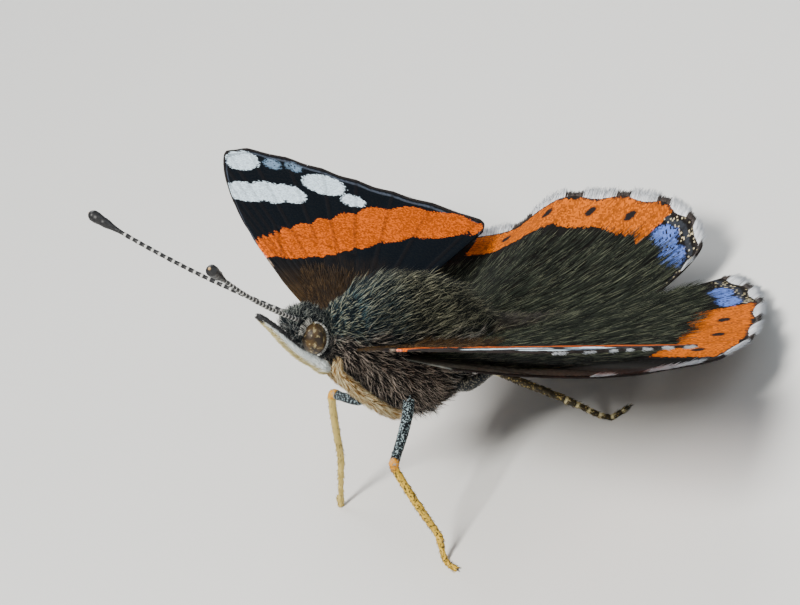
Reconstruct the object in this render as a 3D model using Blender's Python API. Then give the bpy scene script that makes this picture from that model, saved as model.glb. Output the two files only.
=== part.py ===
"""Red admiral butterfly, life size, basking with its wings open.

The insect is modelled in millimetres in its own wing frame: +X to the head, +Y to its left, +Z up through
the back, with the origin midway between the roots of the forewings. An empty then pitches the whole insect
head-up, so that its four walking feet stand on the floor at one level.
"""

import math

import bmesh
import bpy
from mathutils import Matrix, Vector

MM = 0.001

# How the insect stands
PITCH = math.radians(31.0)            # head-up slope of the wing frame over the floor
MID_FOOT = Vector((-3.1, 7.0, -14.4))  # a point of the floor, in the wing frame
SHIFT = Vector((8.1, 0.0, 0.0))       # brings the middle of the footprint to the origin

# Clearances and thin sheets
GAP = 0.3
MEMBRANE = 0.5                        # thickness of a wing
VEIN_RISE = 0.13                      # height of a vein over each face of the membrane
VEIN_HALF_WIDTH = 0.32

# Body, as rings along X: x, middle z, half width, height above the middle, depth below it
THORAX = (
    (2.2, 0.6, 1.25, 1.35, 1.25),
    (1.5, 0.75, 1.9, 2.0, 1.8),
    (0.3, 0.5, 2.5, 2.8, 2.75),
    (-1.4, 0.1, 2.85, 3.65, 3.9),
    (-3.3, -0.4, 2.95, 4.2, 4.55),
    (-5.2, -0.6, 2.75, 4.0, 4.3),
    (-6.8, -0.7, 2.3, 3.35, 3.4),
    (-7.9, -0.75, 1.8, 2.4, 2.4),
    (-8.5, -0.8, 1.35, 1.5, 1.5),
)
HEAD = (
    (2.5, 0.6, 1.2, 1.3, 1.2),
    (2.9, 0.85, 1.5, 1.75, 1.2),
    (3.6, 1.05, 1.65, 1.95, 0.9),
    (4.3, 1.4, 1.5, 1.55, 0.6),
    (4.9, 1.85, 1.15, 0.9, 0.4),
    (5.3, 2.05, 0.6, 0.35, 0.22),
)
ABDOMEN_TIP_X = -19.6
ABDOMEN = (
    (-8.8, -0.85, 1.4, 1.4, 1.45),
    (-9.8, -1.05, 1.8, 1.45, 1.75),
    (-11.4, -1.35, 2.05, 1.45, 1.9),
    (-13.2, -1.6, 2.1, 1.45, 1.9),
    (-15.0, -1.75, 1.95, 1.35, 1.8),
    (-16.7, -1.85, 1.65, 1.2, 1.55),
    (-18.2, -1.95, 1.2, 0.95, 1.1),
    (-19.2, -2.05, 0.75, 0.6, 0.65),
    (ABDOMEN_TIP_X, -2.1, 0.35, 0.3, 0.3),
)
SEGMENT_STEP = 1.55                   # length of one abdominal segment
SEGMENT_DIP = 0.1

# Head parts
EYE_CENTRE = Vector((3.75, 1.25, 1.12))
EYE_RADII = Vector((0.98, 0.92, 1.16))
EYE_FLOOR_Y = 0.85                    # the eye ends this far from the middle of the head
PALP = (                              # x, z, half height, half thickness
    (2.4, -1.6, 0.3, 0.24),
    (2.9, -1.3, 0.38, 0.28),
    (3.6, -0.75, 0.42, 0.3),
    (4.25, -0.28, 0.42, 0.32),
    (4.85, 0.3, 0.4, 0.32),
    (5.45, 0.98, 0.38, 0.3),
    (5.95, 1.6, 0.35, 0.26),
    (6.45, 2.12, 0.3, 0.22),
    (6.85, 2.52, 0.24, 0.18),
    (7.14, 2.78, 0.14, 0.12),
)
ANTENNA_ROOT = Vector((4.1, 0.62, 2.2))
ANTENNA_TIPS = {"left": Vector((13.6, 11.0, 9.7)), "right": Vector((16.4, -8.5, 9.4))}
ANTENNA_RADIUS = 0.25
CLUB_RADIUS = 0.52
CLUB_LENGTH = 2.3
ANTENNA_SAG = 0.5                     # bow of the shaft, downwards

# Legs of the left side, in the wing frame: points of the limb and its radius there
FORELEG = (
    ((2.0, 1.35, -0.55), 0.3),
    ((2.1, 1.6, -1.3), 0.38),
    ((1.6, 1.75, -2.2), 0.42),
    ((0.67, 1.7, -3.19), 0.42),
    ((-0.41, 1.6, -4.14), 0.38),
    ((-1.38, 1.45, -4.83), 0.3),
    ((-1.99, 1.35, -5.16), 0.16),
)
MIDLEG = (
    ((-2.9, 1.5, -3.2), 0.55),
    ((-2.6, 2.35, -4.4), 0.5),
    ((-1.6, 3.9, -5.7), 0.42),
    ((-0.6, 5.1, -6.9), 0.36),
    ((-0.25, 5.5, -7.35), 0.4),
    ((-0.35, 5.6, -7.8), 0.33),
    ((-1.4, 6.0, -9.9), 0.31),
    ((-2.8, 6.45, -12.4), 0.28),
    ((-2.95, 6.55, -12.8), 0.31),
    ((-3.0, 6.8, -13.5), 0.25),
    ((-3.05, 7.25, -14.18), 0.25),
    ((-3.05, 8.1, -14.2), 0.25),
    ((-3.1, 9.3, -14.19), 0.22),
)
MIDLEG_AHEAD = (                      # the right middle leg is set further forward
    ((-2.9, 1.5, -3.2), 0.55),
    ((-2.2, 2.4, -4.4), 0.5),
    ((-0.95, 3.4, -5.3), 0.42),
    ((-0.05, 4.6, -5.25), 0.36),
    ((0.32, 5.2, -5.17), 0.4),
    ((0.42, 5.45, -5.6), 0.33),
    ((-0.25, 7.0, -8.2), 0.31),
    ((-1.0, 8.5, -10.8), 0.28),
    ((-1.1, 8.75, -11.25), 0.31),
    ((-1.25, 9.5, -13.2), 0.25),
    ((-1.4, 10.2, -15.16), 0.25),
    ((-1.55, 10.9, -15.1), 0.25),
    ((-1.7, 11.6, -15.02), 0.22),
)
HINDLEG = (
    ((-6.6, 1.2, -2.9), 0.6),
    ((-6.9, 2.1, -3.5), 0.52),
    ((-7.5, 2.85, -3.1), 0.42),
    ((-8.2, 3.45, -2.45), 0.36),
    ((-8.5, 3.65, -2.3), 0.38),
    ((-8.8, 3.8, -2.45), 0.32),
    ((-10.8, 4.4, -3.5), 0.31),
    ((-12.9, 5.0, -4.55), 0.28),
    ((-13.3, 5.1, -4.8), 0.31),
    ((-14.3, 5.35, -5.35), 0.25),
    ((-15.5, 5.6, -6.05), 0.25),
    ((-16.4, 5.85, -6.19), 0.25),
    ((-17.5, 6.1, -5.53), 0.22),
)

# Wings: sweep turns the wing back in its plane, dihedral lifts it, and the bow rises towards the rear
FORE = {"root": (0.0, 2.3, 0.0), "sweep": -2.2, "slope": -7.0}
FORE_DIHEDRAL = {"left": 14.9, "right": 13.4}
FORE_DROOP = {"left": 0.0003, "right": 0.0007}   # the tip droops by this times the square of the span
# A hindwing slopes down to the rear, bows up there, and flares up behind the forewing
HIND = {
    "left": {"root": (-2.6, 2.3, -0.75), "sweep": -28.0, "dihedral": 2.6, "slope": 2.2,
             "bow": 0.00005, "flare": 0.0},
    "right": {"root": (-2.6, 2.3, -1.55), "sweep": -18.0, "dihedral": 5.8, "slope": -3.4,
              "bow": 0.00043, "flare": 0.15},
}
FLARE_LINE = math.radians(43.0)       # the line of the forewing's rear edge
FLARE_WIDTH = 5.0
MIDLINE_Y = 0.25                      # the hindwings end this far from the middle behind the abdomen
# Forewing veins: name, end on the margin (out, forward), where the ridge starts along the vein
FORE_VEINS = (
    ("edge", (10.0, 2.3), None),
    ("costa", (14.2, 2.5), 0.0),
    ("subcosta", (18.4, 2.5), 0.0),
    ("radius_1", (22.0, 2.25), 0.0),
    ("radius_2", (25.6, 1.8), 0.45),
    ("radius_3", (29.1, 1.1), 0.5),
    ("radius_4", (31.5, 0.2), 0.55),
    ("radius_5", (32.1, -1.6), 0.0),
    ("media_1", (30.4, -4.2), 0.47),
    ("media_2", (28.3, -6.4), 0.47),
    ("media_3", (26.1, -8.5), 0.47),
    ("cubitus_1", (23.9, -10.8), 0.0),
    ("cubitus_2", (21.8, -13.3), 0.0),
    ("anal", (18.9, -16.0), 0.0),
    ("inner", (16.9, -15.6), None),
)
FORE_BASE = (0.95, -1.3)              # forward ends of the root edge
FORE_ARCH = 0.9                       # bow of the leading veins
FORE_SCALLOP = 0.25
# Hindwing veins: name, direction of its end from the root in degrees, its length, where the ridge starts
HIND_VEINS = (
    ("edge", 14.0, 6.2, None),
    ("costa", 3.0, 12.4, 0.0),
    ("subcosta", -6.0, 18.2, 0.0),
    ("radius", -17.5, 22.6, 0.0),
    ("media_1", -28.0, 24.0, 0.42),
    ("media_2", -38.5, 24.3, 0.42),
    ("media_3", -48.5, 24.9, 0.42),
    ("cubitus_1", -58.0, 25.3, 0.0),
    ("cubitus_2", -66.5, 25.1, 0.0),
    ("anal_2", -74.0, 23.9, 0.0),
    ("anal_3", -78.5, 18.4, 0.0),
    ("inner", -83.0, 12.0, None),
)
HIND_BASE = (0.7, -1.7)
HIND_SCALLOP = 0.3
STATIONS = 13
RING = 20

COLOURS = {
    "fur": ((0.055, 0.05, 0.05), 0.9),
    "wing": ((0.045, 0.034, 0.028), 0.7),
    "eye": ((0.11, 0.06, 0.025), 0.25),
    "palp": ((0.75, 0.74, 0.62), 0.8),
    "antenna": ((0.03, 0.03, 0.03), 0.5),
    "foreleg": ((0.42, 0.3, 0.14), 0.8),
    "leg": ((0.45, 0.34, 0.13), 0.6),
}


def clear_scene():
    for obj in list(bpy.data.objects):
        bpy.data.objects.remove(obj, do_unlink=True)


def material(name):
    """One plain finish per kind of part."""
    found = bpy.data.materials.get(name)
    if found:
        return found
    colour, roughness = COLOURS[name]
    made = bpy.data.materials.new(name)
    made.use_nodes = True
    shader = made.node_tree.nodes["Principled BSDF"]
    shader.inputs["Base Color"].default_value = (*colour, 1.0)
    shader.inputs["Roughness"].default_value = roughness
    return made


def pose_empty():
    """Pitches the wing frame head-up and sets the feet on the floor."""
    empty = bpy.data.objects.new("stance", None)
    bpy.context.scene.collection.objects.link(empty)
    turn = Matrix.Rotation(-PITCH, 4, "Y")
    lift = -(turn @ MID_FOOT).z
    empty.matrix_world = Matrix.Translation((SHIFT + Vector((0, 0, lift))) * MM) @ turn
    return empty


def floor_normal():
    """The floor's upward normal, in the wing frame."""
    return Matrix.Rotation(PITCH, 3, "Y") @ Vector((0, 0, 1))


def object_from(name, bm, finish, parent):
    """A named object from a bmesh in millimetres."""
    bmesh.ops.scale(bm, vec=(MM, MM, MM), verts=bm.verts)
    bmesh.ops.recalc_face_normals(bm, faces=bm.faces)
    mesh = bpy.data.meshes.new(name)
    bm.to_mesh(mesh)
    bm.free()
    mesh.materials.append(material(finish))
    mesh.shade_smooth()
    obj = bpy.data.objects.new(name, mesh)
    bpy.context.scene.collection.objects.link(obj)
    obj.parent = parent
    return obj


def keep_largest(bm):
    """Drops every loose scrap but the body with the largest box."""
    seen = set()
    groups = []
    for start in bm.verts:
        if start in seen:
            continue
        group, front = [], [start]
        seen.add(start)
        while front:
            vert = front.pop()
            group.append(vert)
            for edge in vert.link_edges:
                other = edge.other_vert(vert)
                if other not in seen:
                    seen.add(other)
                    front.append(other)
        groups.append(group)
    groups.sort(key=len)
    for group in groups[:-1]:
        bmesh.ops.delete(bm, geom=group, context="VERTS")


def trim(obj, *cutters):
    """Parts an object from its neighbours with thin cuts, and keeps its largest piece."""
    for cutter in cutters:
        cut = obj.modifiers.new("part", "BOOLEAN")
        cut.operation = "DIFFERENCE"
        cut.object = cutter
    graph = bpy.context.evaluated_depsgraph_get()
    bm = bmesh.new()
    bm.from_mesh(obj.evaluated_get(graph).to_mesh())
    obj.modifiers.clear()
    keep_largest(bm)
    bmesh.ops.triangulate(bm, faces=[f for f in bm.faces if len(f.verts) > 4])
    bm.to_mesh(obj.data)
    bm.free()
    obj.data.shade_smooth()


def hide_cutter(obj):
    obj.hide_render = True
    obj.display_type = "WIRE"


def skin_rings(bm, rings):
    """Joins rings of equal count with faces and closes both ends."""
    count = len(rings[0])
    for first, second in zip(rings, rings[1:]):
        for i in range(count):
            j = (i + 1) % count
            bm.faces.new((first[i], first[j], second[j], second[i]))
    bm.faces.new(rings[0][::-1])
    bm.faces.new(rings[-1])


def smooth_rings(rings, steps):
    """Catmull-Rom points between the stated rings."""
    out = []
    last = len(rings) - 1
    for i in range(last):
        before, start = rings[max(i - 1, 0)], rings[i]
        end, after = rings[i + 1], rings[min(i + 2, last)]
        for k in range(steps):
            t = k / steps
            out.append(
                tuple(
                    0.5 * (2 * b + (c - a) * t + (2 * a - 5 * b + 4 * c - d) * t * t
                           + (3 * b - a - 3 * c + d) * t ** 3)
                    for a, b, c, d in zip(before, start, end, after)
                )
            )
    out.append(tuple(rings[-1]))
    return out


def body_rings(name, stations, finish, parent, grow=0.0, steps=2, segment=0.0):
    """A closed body from egg-shaped rings along X. It is grown on every side to make a cutter."""
    bm = bmesh.new()
    rings = []
    fine = smooth_rings(stations, steps)
    for place, (x, middle, half, up, down) in enumerate(fine):
        if grow and place == 0:
            x += grow
        if grow and place == len(fine) - 1:
            x -= grow
        dip = segment * 0.5 * (1 - math.cos(2 * math.pi * (x - stations[0][0]) / SEGMENT_STEP))
        ring = []
        for i in range(RING):
            angle = 2 * math.pi * i / RING
            rise = up if math.sin(angle) > 0 else down
            ring.append(
                bm.verts.new(
                    (x, (half + grow - dip) * math.cos(angle),
                     middle + (rise + grow - dip) * math.sin(angle))
                )
            )
        rings.append(ring)
    skin_rings(bm, rings)
    return object_from(name, bm, finish, parent)


def tube(bm, points, radii, sides, flatten=1.0):
    """A closed limb round a line of points. flatten thins it sideways."""
    rings = []
    side = Vector((0, 1, 0))
    for i, point in enumerate(points):
        ahead = points[min(i + 1, len(points) - 1)] - points[max(i - 1, 0)]
        ahead.normalize()
        across = (side - ahead * side.dot(ahead)).normalized()
        over = ahead.cross(across)
        ring = []
        for k in range(sides):
            angle = 2 * math.pi * k / sides
            offset = across * math.cos(angle) * flatten + over * math.sin(angle)
            ring.append(bm.verts.new(point + offset * radii[i]))
        rings.append(ring)
    skin_rings(bm, rings)


def mirrored(point, side):
    return Vector((point[0], point[1] * side, point[2]))


def ellipsoid(name, centre, radii, floor_y, side, finish, parent, segments, rings):
    """A domed eye, cut flat on its inner side."""
    bm = bmesh.new()
    bmesh.ops.create_uvsphere(bm, u_segments=segments, v_segments=rings, radius=1.0)
    bmesh.ops.scale(bm, vec=radii, verts=bm.verts)
    bmesh.ops.translate(bm, vec=mirrored(centre, side), verts=bm.verts)
    cut = bmesh.ops.bisect_plane(
        bm,
        geom=bm.verts[:] + bm.edges[:] + bm.faces[:],
        plane_co=(0, floor_y * side, 0),
        plane_no=(0, -side, 0),
        clear_outer=True,
    )
    rim = [e for e in cut["geom_cut"] if isinstance(e, bmesh.types.BMEdge)]
    bmesh.ops.edgeloop_fill(bm, edges=rim)
    return object_from(name, bm, finish, parent)


def palp(name, side, parent):
    """A labial palp: a flat, upturned brush in front of the face."""
    bm = bmesh.new()
    rings = []
    fine = smooth_rings(PALP, 2)
    for i, (x, z, high, thick) in enumerate(fine):
        a, b = fine[max(i - 1, 0)], fine[min(i + 1, len(fine) - 1)]
        along = Vector((b[0] - a[0], 0, b[1] - a[1])).normalized()
        over = Vector((-along.z, 0, along.x))
        middle = Vector((x, (GAP / 2 + thick) * side, z))
        rings.append(
            [
                bm.verts.new(
                    middle + over * high * math.sin(2 * math.pi * k / 10)
                    + Vector((0, thick * math.cos(2 * math.pi * k / 10), 0))
                )
                for k in range(10)
            ]
        )
    skin_rings(bm, rings)
    return object_from(name, bm, "palp", parent)


def antenna(name, side_name, parent):
    """A slender feeler that thickens to a flattened club."""
    side = 1 if side_name == "left" else -1
    root = mirrored(ANTENNA_ROOT, side)
    tip = ANTENNA_TIPS[side_name]
    length = (tip - root).length
    points, radii = [], []
    count = 16
    for i in range(count + 1):
        t = 1 - (1 - i / count) ** 1.6
        bow = ANTENNA_SAG * 4 * t * (1 - t)
        points.append(root.lerp(tip, t) - Vector((0, 0, bow)))
        to_tip = (1 - t) * length
        swell = 1 - min(to_tip / CLUB_LENGTH, 1) ** 2
        radii.append(ANTENNA_RADIUS + (CLUB_RADIUS - ANTENNA_RADIUS) * swell)
    radii[-1] = 0.22
    bm = bmesh.new()
    tube(bm, points, radii, 8)
    return object_from(name, bm, "antenna", parent)


def leg(name, limb, side, finish, parent, flatten=1.0, standing=True):
    """One leg along its points. A walking foot is flat where it meets the floor."""
    fine = smooth_rings([(*p, r) for p, r in limb], 2)
    points = [mirrored(p, side) for p in fine]
    bm = bmesh.new()
    tube(bm, points, [p[3] for p in fine], 8, flatten)
    if standing:
        normal = floor_normal()
        for vert in bm.verts:
            depth = (MID_FOOT - vert.co).dot(normal)
            if depth > 0:
                vert.co += normal * depth
    return object_from(name, bm, finish, parent)


def fore_point(u, v, side_name):
    """Middle surface of a forewing: u out from the root and v forward, in the wing's own plane."""
    a = math.radians(FORE["sweep"])
    out, ahead = u * math.cos(a) - v * math.sin(a), u * math.sin(a) + v * math.cos(a)
    d = math.radians(FORE_DIHEDRAL[side_name])
    tip_bend = -FORE_DROOP[side_name] * out * out
    rise = out * math.sin(d) + ahead * math.tan(-math.radians(FORE["slope"])) + tip_bend
    x0, y0, z0 = FORE["root"]
    side = 1 if side_name == "left" else -1
    return Vector((x0 + ahead, side * (y0 + out * math.cos(d)), z0 + rise))


def hind_point(u, v, side_name):
    """Middle surface of a hindwing, which bows up to the rear."""
    pose = HIND[side_name]
    a = math.radians(pose["sweep"])
    out, ahead = u * math.cos(a) - v * math.sin(a), u * math.sin(a) + v * math.cos(a)
    d = math.radians(pose["dihedral"])
    x0, y0, z0 = pose["root"]
    x = x0 + ahead
    y = y0 + out * math.cos(d)
    behind = -(ahead * math.cos(FLARE_LINE) + out * math.sin(FLARE_LINE))
    share = min(max(behind / FLARE_WIDTH, 0.0), 1.0)
    flare = pose["flare"] * out * share * share * (3 - 2 * share)
    rise = out * math.sin(d) - ahead * math.tan(math.radians(pose["slope"]))
    z = z0 + rise + pose["bow"] * abs(ahead) ** 3 + flare
    side = 1 if side_name == "left" else -1
    return Vector((x, side * y, z))


def wing_columns(ends, base, arch, scallop):
    """The lines that run from a wing's root to its margin: each vein, its two feet and the middle of each cell.

    It gives (vein index or None, [points in the wing's plane])."""
    count = len(ends)
    starts = [base[0] + (base[1] - base[0]) * i / (count - 1) for i in range(count)]
    veins = []
    for i, (end, start) in enumerate(zip(ends, starts)):
        bow = arch * (1 - i / (count - 1))
        line = []
        for k in range(STATIONS + 1):
            t = k / STATIONS
            line.append(
                Vector((end[0] * t, start + (end[1] - start) * t + bow * 4 * t * (1 - t) * 0.5))
            )
        veins.append(line)
    columns = []
    for i in range(count):
        inner = 0 < i < count - 1
        if inner:
            columns.append((None, beside(veins[i], veins[i - 1])))
        columns.append((i, veins[i]))
        if inner:
            columns.append((None, beside(veins[i], veins[i + 1])))
        if i < count - 1:
            middle = [a.lerp(b, 0.5) for a, b in zip(veins[i], veins[i + 1])]
            middle[-1] = middle[-1] - middle[-1].normalized() * scallop
            columns.append((None, middle))
    return columns


def beside(line, other):
    """A line a vein's half width from it, towards its neighbour."""
    out = []
    for a, b in zip(line, other):
        across = b - a
        share = min(VEIN_HALF_WIDTH / max(across.length, 1e-6), 0.3)
        out.append(a + across * share)
    return out


def wing(name, ends, ridges, base, arch, scallop, place, side_name, parent):
    """A wing as one closed sheet, its veins raised in both faces."""
    columns = wing_columns(ends, base, arch, scallop)
    bm = bmesh.new()
    top, bottom = [], []
    for vein, line in columns:
        start = ridges[vein] if vein is not None else None
        upper, lower = [], []
        for k, (u, v) in enumerate(line):
            t = k / STATIONS
            rise = 0.0
            if start is not None and t >= start:
                rise = VEIN_RISE * (1 - 0.55 * t)
            half = MEMBRANE / 2 + rise
            middle = place(u, v, side_name)
            upper.append(bm.verts.new(middle + Vector((0, 0, half))))
            lower.append(bm.verts.new(middle - Vector((0, 0, half))))
        top.append(upper)
        bottom.append(lower)
    last = len(columns) - 1
    for i in range(last):
        for k in range(STATIONS):
            bm.faces.new((top[i][k], top[i + 1][k], top[i + 1][k + 1], top[i][k + 1]))
            bm.faces.new((bottom[i][k], bottom[i][k + 1], bottom[i + 1][k + 1], bottom[i + 1][k]))
        for k in (0, STATIONS):
            bm.faces.new((top[i][k], bottom[i][k], bottom[i + 1][k], top[i + 1][k]))
    for i in (0, last):
        for k in range(STATIONS):
            bm.faces.new((top[i][k], top[i][k + 1], bottom[i][k + 1], bottom[i][k]))
    bmesh.ops.triangulate(bm, faces=bm.faces, quad_method="FIXED")
    return object_from(name, bm, "wing", parent)


def forewing(side_name, parent):
    ends = [Vector(end) for _, end, _ in FORE_VEINS]
    ridges = [start for _, _, start in FORE_VEINS]
    return wing("forewing_" + side_name, ends, ridges, FORE_BASE, FORE_ARCH, FORE_SCALLOP,
                fore_point, side_name, parent)


def hindwing(side_name, parent):
    ends = [
        Vector((math.cos(math.radians(angle)), math.sin(math.radians(angle)))) * length
        for _, angle, length, _ in HIND_VEINS
    ]
    ridges = [start for _, _, _, start in HIND_VEINS]
    return wing("hindwing_" + side_name, ends, ridges, HIND_BASE, 0.0, HIND_SCALLOP,
                hind_point, side_name, parent)


def midline_wall(parent):
    """Fills the plane between the hindwings, so that each ends on its own side."""
    bm = bmesh.new()
    bmesh.ops.create_cube(bm, size=1.0)
    bmesh.ops.scale(bm, vec=(30.0, 2 * MIDLINE_Y, 16.0), verts=bm.verts)
    bmesh.ops.translate(bm, vec=(-18.0, 0.0, 0.0), verts=bm.verts)
    return object_from("midline_wall", bm, "wing", parent)


def build():
    clear_scene()
    stance = pose_empty()
    body_rings("thorax", THORAX, "fur", stance)
    body_rings("abdomen", ABDOMEN, "fur", stance, steps=3, segment=SEGMENT_DIP)
    head = body_rings("head", HEAD, "fur", stance, steps=2)
    thorax_cutter = body_rings("thorax_cutter", THORAX, "fur", stance, grow=GAP)
    head_cutter = body_rings("head_cutter", HEAD, "fur", stance, grow=GAP)
    abdomen_cutter = body_rings("abdomen_cutter", ABDOMEN, "fur", stance, grow=GAP)
    wall = midline_wall(stance)
    for cutter in (thorax_cutter, head_cutter, abdomen_cutter, wall):
        hide_cutter(cutter)
    sockets = []
    for side_name, side in (("left", 1), ("right", -1)):
        ellipsoid("eye_" + side_name, EYE_CENTRE, EYE_RADII, EYE_FLOOR_Y, side, "eye", stance, 16, 10)
        socket = ellipsoid("socket_" + side_name, EYE_CENTRE, EYE_RADII + Vector((0.2, 0.2, 0.2)),
                           EYE_FLOOR_Y - 0.2, side, "eye", stance, 16, 10)
        hide_cutter(socket)
        sockets.append(socket)
    bpy.context.view_layer.update()
    trim(head, *sockets)
    for side_name, side in (("left", 1), ("right", -1)):
        trim(palp("palp_" + side_name, side, stance), head_cutter, thorax_cutter)
        trim(antenna("antenna_" + side_name, side_name, stance), head_cutter)
        fore = leg("foreleg_" + side_name, FORELEG, side, "foreleg", stance, 0.75, standing=False)
        trim(fore, thorax_cutter, head_cutter)
        middle = MIDLEG if side > 0 else MIDLEG_AHEAD
        trim(leg("midleg_" + side_name, middle, side, "leg", stance), thorax_cutter)
        trim(leg("hindleg_" + side_name, HINDLEG, side, "leg", stance), thorax_cutter)
        trim(forewing(side_name, stance), thorax_cutter)
        trim(hindwing(side_name, stance), thorax_cutter, abdomen_cutter, wall)


build()
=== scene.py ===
# %% [markdown]
# A red admiral basking with its wings open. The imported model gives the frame: where each part is and how
# large. This lesson puts the looks round it. One furry skin stands for head, thorax and abdomen, and thin
# patterned sheets stand for the wings. Eyes, feelers and legs get their own fine shapes.

# %% Load the frame
import math

import bmesh
import bpy
import numpy as np
from mathutils import Matrix, Vector


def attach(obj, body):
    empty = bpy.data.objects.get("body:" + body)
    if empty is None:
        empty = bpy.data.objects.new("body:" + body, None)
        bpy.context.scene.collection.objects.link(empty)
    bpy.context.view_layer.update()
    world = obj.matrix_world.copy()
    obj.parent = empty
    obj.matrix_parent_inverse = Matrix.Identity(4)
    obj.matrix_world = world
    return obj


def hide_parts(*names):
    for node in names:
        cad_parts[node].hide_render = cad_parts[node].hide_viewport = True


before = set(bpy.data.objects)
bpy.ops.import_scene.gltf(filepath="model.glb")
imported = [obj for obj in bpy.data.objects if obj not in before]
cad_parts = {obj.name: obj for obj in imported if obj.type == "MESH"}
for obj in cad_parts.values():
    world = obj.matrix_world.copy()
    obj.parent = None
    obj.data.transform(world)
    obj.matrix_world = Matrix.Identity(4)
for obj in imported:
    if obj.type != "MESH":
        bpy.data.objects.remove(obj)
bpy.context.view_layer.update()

# %% [markdown]
# The insect is easiest to describe in its own wing frame, in millimetres: X to the head, Y to its left, Z up
# through the back, from a point midway between the forewing roots. The whole insect is then pitched head-up
# over the floor. One small function carries any array of points from that frame to the floor's.

# %% The wing frame
MM = 0.001
PITCH = math.radians(31.0)
# the foot that sets the height, how far the insect is moved ahead, and the gap under its lowest corners
MID_FOOT = (-3.1, 7.0, -14.4)
CENTRING = 8.1
FLOOR_GAP = 0.00001
TURN = np.array(
    ((math.cos(PITCH), 0, -math.sin(PITCH)), (0, 1, 0), (math.sin(PITCH), 0, math.cos(PITCH)))
)
STAND = np.array((CENTRING, 0.0, -(TURN @ np.array(MID_FOOT))[2]))


def to_floor(points):
    """Metres over the floor, from millimetres in the wing frame."""
    return (np.asarray(points, float) @ TURN.T + STAND) * MM


def over_floor(points):
    """The same, with nothing below the floor."""
    placed = to_floor(points)
    placed[:, 2] = np.maximum(placed[:, 2], FLOOR_GAP)
    return placed


def unit(vectors):
    vectors = np.asarray(vectors, float)
    return vectors / np.maximum(np.linalg.norm(vectors, axis=-1, keepdims=True), 1e-9)


print("lift of the wing frame over the floor, mm:", round(float(STAND[2]), 2))

# %% [markdown]
# Most pieces here are sheets, tubes or thousands of hairs. A sheet starts as a flat grid whose corners are
# then carried to their places. Hairs are joined into one mesh from arrays, because thousands of separate
# objects would be slow. Both end in the same helper that names the object and lets it ride on the body.


# %% Piece helpers
BAKE_UV = "OFBake"


def finish_piece(mesh, name, mats, replaces):
    for mat in mats:
        mesh.materials.append(mat)
    mesh.shade_smooth()
    obj = bpy.data.objects.new(name, mesh)
    bpy.context.scene.collection.objects.link(obj)
    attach(obj, "root")
    if replaces:
        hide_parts(*replaces)
    return obj


def array_mesh(name, verts, quads, tris, uv):
    """A mesh from arrays of corners in metres, quads and triangles, with one UV per corner."""
    mesh = bpy.data.meshes.new(name)
    loops = np.concatenate((quads.ravel(), tris.ravel())).astype(np.int32)
    sizes = np.concatenate((np.full(len(quads), 4), np.full(len(tris), 3)))
    starts = np.concatenate(((0,), np.cumsum(sizes)[:-1])).astype(np.int32)
    mesh.vertices.add(len(verts))
    mesh.vertices.foreach_set("co", np.asarray(verts, np.float32).ravel())
    mesh.loops.add(len(loops))
    mesh.polygons.add(len(sizes))
    mesh.polygons.foreach_set("loop_start", starts)
    mesh.polygons.foreach_set("vertices", loops)
    mesh.update(calc_edges=True)
    layer = mesh.uv_layers.new(name=BAKE_UV)
    layer.uv.foreach_set("vector", np.asarray(uv, np.float32)[loops].ravel())
    return mesh


def add_value(mesh, name, values):
    layer = mesh.attributes.new(name, "FLOAT", "POINT")
    layer.data.foreach_set("value", np.asarray(values, np.float32))


def read_value(mesh, name):
    out = np.zeros(len(mesh.vertices), np.float32)
    mesh.attributes[name].data.foreach_get("value", out)
    return out


def mesh_from(bm, name):
    mesh = bpy.data.meshes.new(name)
    bm.to_mesh(mesh)
    bm.free()
    return mesh


def sheet(name, across, along, place, close_round=False):
    """A grid carried to its place. place takes arrays s and t from 0 to 1 and gives points in mm."""
    bm = bmesh.new()
    bmesh.ops.create_grid(bm, x_segments=across, y_segments=along, size=0.5)
    flat = np.array([v.co[:2] for v in bm.verts]) + 0.5
    spots = over_floor(place(flat[:, 0], flat[:, 1]))
    uv_layer = bm.loops.layers.uv.new(BAKE_UV)
    for face in bm.faces:
        for loop in face.loops:
            loop[uv_layer].uv = flat[loop.vert.index]
    s_layer = bm.verts.layers.float.new("s")
    t_layer = bm.verts.layers.float.new("t")
    for vert, spot, st in zip(bm.verts, spots, flat):
        vert.co = spot
        vert[s_layer], vert[t_layer] = st
    if close_round:
        bmesh.ops.remove_doubles(bm, verts=bm.verts, dist=1e-7)
        bmesh.ops.recalc_face_normals(bm, faces=bm.faces)
    return mesh_from(bm, name)


def smooth_table(rows, steps):
    """Catmull-Rom rows between the stated rows."""
    rows = np.asarray(rows, float)
    padded = np.vstack((rows[:1], rows, rows[-1:]))
    t = np.linspace(0, 1, steps, endpoint=False)[:, None]
    out = [
        0.5 * (2 * b + (c - a) * t + (2 * a - 5 * b + 4 * c - d) * t**2 + (3 * b - a - 3 * c + d) * t**3)
        for a, b, c, d in zip(padded, padded[1:], padded[2:], padded[3:])
    ]
    return np.vstack(out + [rows[-1:]])


print("helpers ready")

# %% [markdown]
# A hair is a thin solid cone of three sides that leaves the skin at a slant and bends over to the lie of the
# coat. Every hair of a piece is computed at once: each array row is one hair, and the rings of its cone are
# stacked behind each other. Each hair also stores how far along it a point is and one number of its own, so
# that a finish can give it a pale tip or a shade of its own.


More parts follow.
